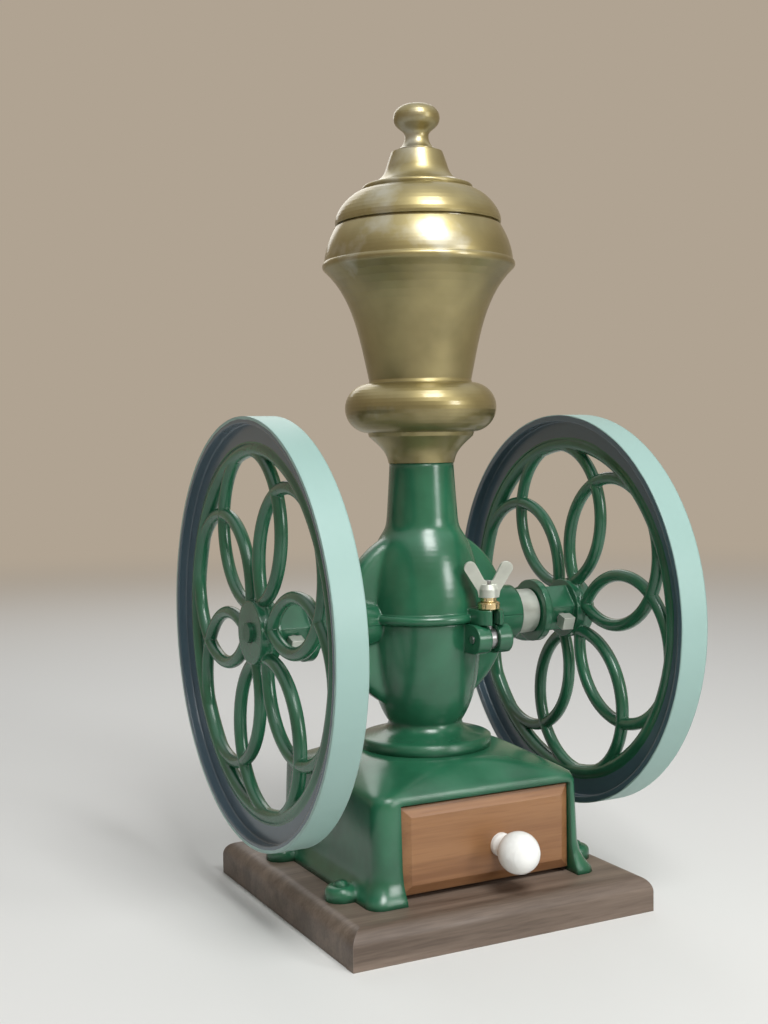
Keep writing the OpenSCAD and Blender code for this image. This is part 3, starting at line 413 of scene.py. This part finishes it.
class MILL_OT_plinth(bpy.types.Operator):
    """Stains the plinth"""

    bl_idname = "mill.plinth"
    bl_label = "Plinth"

    def execute(self, context):
        # Oiled walnut, planed and rounded by hand: broad soft streaks, dull, pale along worn edges
        paints = context.scene.mill_paints
        tones = (paints.walnut, paints.walnut_deep)
        dress(grained_wood("oiled walnut", (0.07, 1, 1), *tones, 0.46, 15), "base_plinth")
        return {"FINISHED"}


class MILL_OT_drawer(bpy.types.Operator):
    """Varnishes the drawer's boards and glazes its knob"""

    bl_idname = "mill.drawer"
    bl_label = "Drawer"

    def execute(self, context):
        # Stained cherry under satin varnish: quiet straight grain along each board
        paints = context.scene.mill_paints
        tones = (paints.cherry, paints.cherry_deep)
        across = grained_wood("varnished cherry", (0.05, 1, 1), *tones, 0.34, 9)
        lengthwise = grained_wood("cherry boards", (1, 0.05, 1), *tones, 0.5, 9)
        dress(across, "drawer_front", "drawer_back")
        dress(lengthwise, "drawer_left_side", "drawer_right_side", "drawer_bottom")
        # Porcelain, dipped and fired: white with faint grey clouds and a glassy, wavy glaze
        glazed, tree, place = start_material("white glazed porcelain", {
            "IOR": 1.52, "Roughness": 0.12})
        clouds = add(tree, NOISE, {"Vector": place, "Scale": per(7), "Detail": 2})
        tint = add(tree, RANGE, {"Value": clouds, "From Min": 0.3, "From Max": 0.7, "To Max": 0.35})
        grey = [0.86 * c for c in paints.glaze[:3]] + [1.0]
        tone = add(tree, MIX, {0: tint, 6: paints.glaze, 7: grey}, 2, data_type="RGBA")
        skin = add(tree, BUMP, {"Height": clouds, "Distance": 0.05 * MM})
        finish_material(tree, base_color=tone, normal=skin)
        dress(glazed, "drawer_knob")
        return {"FINISHED"}


def turned_metal(name, tone, rough_low, rough_high, bare=1.0):
    """A metal, bare or under a thin bloom, with faint stains and tool marks."""
    material, tree, place = start_material(name, {"Metallic": bare})
    # Real tool marks are too fine to show, so they are drawn 1.2 mm apart
    marks = add(tree, NOISE, {"Vector": place, "Scale": per(1.2), "Detail": 2})
    stain = add(tree, NOISE, {"Vector": place, "Scale": per(8), "Detail": 3})
    dull = [0.85 * c for c in tone[:3]] + [1.0]
    spots = add(tree, RANGE, {"Value": stain, "From Min": 0.42, "From Max": 0.75})
    shade = add(tree, MIX, {0: spots, 6: tone, 7: dull}, 2, data_type="RGBA")
    gloss = add(tree, RANGE, {"Value": marks, "From Min": 0.3, "From Max": 0.7,
                              "To Min": rough_low, "To Max": rough_high})
    soft = add(tree, BEVEL, {"Radius": 0.5 * MM}, samples=6)
    skin = add(tree, BUMP, {"Height": marks, "Distance": 0.004 * MM, "Normal": soft})
    finish_material(tree, base_color=shade, roughness=gloss, normal=skin)
    return material


class MILL_OT_fittings(bpy.types.Operator):
    """Finishes the bare metal fittings"""

    bl_idname = "mill.fittings"
    bl_label = "Fittings"

    def execute(self, context):
        # Zinc plate gone dull with a white bloom: pale and satin, hardly mirror-like
        metals = context.scene.mill_metals
        dress(turned_metal("bright zinc plate", metals.bright, 0.36, 0.46, 0.55),
              "wing_nut", "adjusting_sleeve", "left_bush", "wheel_screws")
        # Mild steel off the lathe: grey with soft gloss
        dress(turned_metal("turned steel", metals.steel, *STEEL_ROUGH),
              "knob_screw", "foot_bolts", "clamp_bolt", "clamp_pin", "rear_bolt",
              "rear_nut", "burr_screws", "burr_key", "auger_pin", "lid_nut")
        dress(self.painted_shaft(context.scene.mill_paints, metals), "shaft")
        # Hardened iron, ground and oiled: dark and dull
        dress(turned_metal("ground iron", metals.iron, 0.35, 0.5),
              "fixed_burr", "moving_burr", "feed_auger")
        # Turned brass: warm, with a sharp streak of light down its side
        dress(turned_metal("turned brass", metals.brass, 0.2, 0.28),
              "clamp_collar", "thrust_washer")
        return {"FINISHED"}

    def painted_shaft(self, paints, metals):
        """Turned steel, bare in the bearings and painted over with the wheels at its ends."""
        material = turned_metal("turned steel shaft", metals.steel, *STEEL_ROUGH)
        tree = material.node_tree
        steel = tree.nodes["Principled BSDF"].inputs["Base Color"].links[0].from_socket
        place = add(tree, COORDS, {}, "Object")
        along = add(tree, MATH, {0: add(tree, PARTS, {0: place}, "X")}, operation="ABSOLUTE")
        line = SHAFT_END - paints.end_paint
        painted = add(tree, RANGE, {"Value": along, "From Min": line, "From Max": line + 0.1 * MM})
        tone = add(tree, MIX, {0: painted, 6: steel, 7: paints.green_deep}, 2, data_type="RGBA")
        bare = add(tree, MATH, {0: 1.0, 1: painted}, operation="SUBTRACT")
        finish_material(tree, base_color=tone, metallic=bare)
        return material


class MILL_OT_stage(bpy.types.Operator):
    """Sets the floor, lamps, background and camera"""

    bl_idname = "mill.stage"
    bl_label = "Stage"

    def execute(self, context):
        scene = context.scene
        studio = scene.mill_studio
        scene.view_settings.view_transform = "Standard"
        self.lay_floor(scene, studio)
        self.light_world(scene, studio)
        sight, right, up = self.sight_lines(studio.azimuth, studio.elevation)
        target = right * studio.aside + Vector((0, 0, studio.height))
        self.place_camera(scene, studio, target, sight, right, up)
        for name in LAMPS:
            self.place_lamp(scene, name, getattr(studio, name + "_power"))
        return {"FINISHED"}

    def lay_floor(self, scene, studio):
        """A pale round table top that fades into the background far behind the mill."""
        shape = bmesh.new()
        bmesh.ops.create_circle(shape, cap_ends=True, segments=64, radius=FLOOR_RADIUS)
        mesh = bpy.data.meshes.new("floor")
        shape.to_mesh(mesh)
        shape.free()
        floor = bpy.data.objects.new("floor", mesh)
        scene.collection.objects.link(floor)
        # Melamine laminate, pressed: plain, pale and nearly dull
        material, tree, place = start_material("pale laminate", {
            "Roughness": 0.65, "Base Color": studio.floor})
        away = add(tree, VECTOR, {0: place}, "Value", operation="LENGTH")
        far = add(tree, RANGE, {"Value": away, "From Min": FLOOR_FADE[0],
                                "From Max": FLOOR_FADE[1]}, interpolation_type="SMOOTHSTEP")
        plain = add(tree, "ShaderNodeEmission", {"Color": studio.backdrop})
        near = tree.nodes["Principled BSDF"].outputs[0]
        both = add(tree, LAYERS, {0: far, 1: near, 2: plain})
        tree.links.new(both, tree.nodes["Material Output"].inputs["Surface"])
        mesh.materials.append(material)

    def light_world(self, scene, studio):
        """Even light, and a plain background for the camera and for what metal and glass show."""
        world = bpy.data.worlds.new("studio")
        scene.world = world
        world.use_nodes = True
        tree = world.node_tree
        light = tree.nodes["Background"]
        light.inputs["Color"].default_value = (1, 1, 1, 1)
        light.inputs["Strength"].default_value = studio.sky
        rays = "ShaderNodeLightPath"
        seen = add(tree, rays, {}, "Is Camera Ray")
        for ray in ("Is Glossy Ray", "Is Transmission Ray"):
            seen = add(tree, MATH, {0: seen, 1: add(tree, rays, {}, ray)}, operation="MAXIMUM")
        way = add(tree, COORDS, {}, "Generated")
        rise = add(tree, PARTS, {0: way}, "Z")
        above = add(tree, RANGE, {"Value": rise, "From Min": CEILING_FADE[0],
                                  "From Max": CEILING_FADE[1]}, interpolation_type="SMOOTHSTEP")
        tone = add(tree, MIX, {0: above, 6: studio.backdrop, 7: studio.ceiling}, 2,
                   data_type="RGBA")
        shown = add(tree, "ShaderNodeBackground", {"Color": tone, "Strength": 1.0})
        both = add(tree, LAYERS, {0: seen, 1: light.outputs[0], 2: shown})
        tree.links.new(both, tree.nodes["World Output"].inputs["Surface"])

    def sight_lines(self, azimuth, elevation):
        """From the mill towards one who looks at it, and what is right and up to them."""
        level = math.cos(elevation)
        sight = Vector((math.sin(azimuth) * level, -math.cos(azimuth) * level, math.sin(elevation)))
        right = Vector((math.cos(azimuth), math.sin(azimuth), 0))
        return sight, right, sight.cross(right)

    def place_camera(self, scene, studio, target, sight, right, up):
        """The camera, looking along its line of sight at the target."""
        data = bpy.data.cameras.new("camera")
        data.sensor_width = SENSOR_MM
        data.lens = studio.lens
        data.clip_start = CLIP_START
        camera = bpy.data.objects.new("camera", data)
        scene.collection.objects.link(camera)
        turn = Matrix.Rotation(studio.roll, 3, "Z")
        axes = Matrix((right, up, sight)).transposed() @ turn
        camera.matrix_world = Matrix.Translation(target + sight * studio.distance) @ axes.to_4x4()
        scene.camera = camera

    def place_lamp(self, scene, name, watts):
        """A soft rectangular lamp that faces the mill."""
        azimuth, elevation, distance, width, height = LAMPS[name]
        way = self.sight_lines(math.radians(azimuth), math.radians(elevation))[0]
        data = bpy.data.lights.new(name, "AREA")
        data.shape = "RECTANGLE"
        data.size = width
        data.size_y = height
        data.energy = watts
        lamp = bpy.data.objects.new(name, data)
        scene.collection.objects.link(lamp)
        lamp.location = LAMP_AIM + way * distance
        lamp.rotation_euler = (-way).to_track_quat("-Z", "Y").to_euler()


OPERATORS = (MILL_OT_castings, MILL_OT_wheels, MILL_OT_hopper, MILL_OT_plinth, MILL_OT_drawer,
             MILL_OT_fittings, MILL_OT_stage)
GROUPS = {"mill_paints": MillPaints, "mill_metals": MillMetals, "mill_studio": MillStudio}


class MILL_PT_panel(bpy.types.Panel):
    """Lists the mill's operators and settings"""

    bl_idname = "MILL_PT_panel"
    bl_label = "Coffee mill"
    bl_space_type = "VIEW_3D"
    bl_region_type = "UI"
    bl_category = "Coffee mill"

    def draw(self, context):
        for operator in OPERATORS:
            self.layout.operator(operator.bl_idname)
        for name, group in GROUPS.items():
            for setting in group.__annotations__:
                self.layout.prop(getattr(context.scene, name), setting)


def register():
    """Registers the classes and their settings on the scene."""
    for cls in (*GROUPS.values(), *OPERATORS, MILL_PT_panel):
        bpy.utils.register_class(cls)
    for name, group in GROUPS.items():
        setattr(bpy.types.Scene, name, bpy.props.PointerProperty(type=group))


def unregister():
    """Takes back what register did."""
    for name in GROUPS:
        delattr(bpy.types.Scene, name)
    for cls in (MILL_PT_panel, *reversed(OPERATORS), *reversed(list(GROUPS.values()))):
        bpy.utils.unregister_class(cls)


def main():
    """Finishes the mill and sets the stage."""
    register()
    bpy.ops.mill.castings()
    bpy.ops.mill.wheels()
    bpy.ops.mill.hopper()
    bpy.ops.mill.plinth()
    bpy.ops.mill.drawer()
    bpy.ops.mill.fittings()
    bpy.ops.mill.stage()


if __name__ == "__main__":
    main()
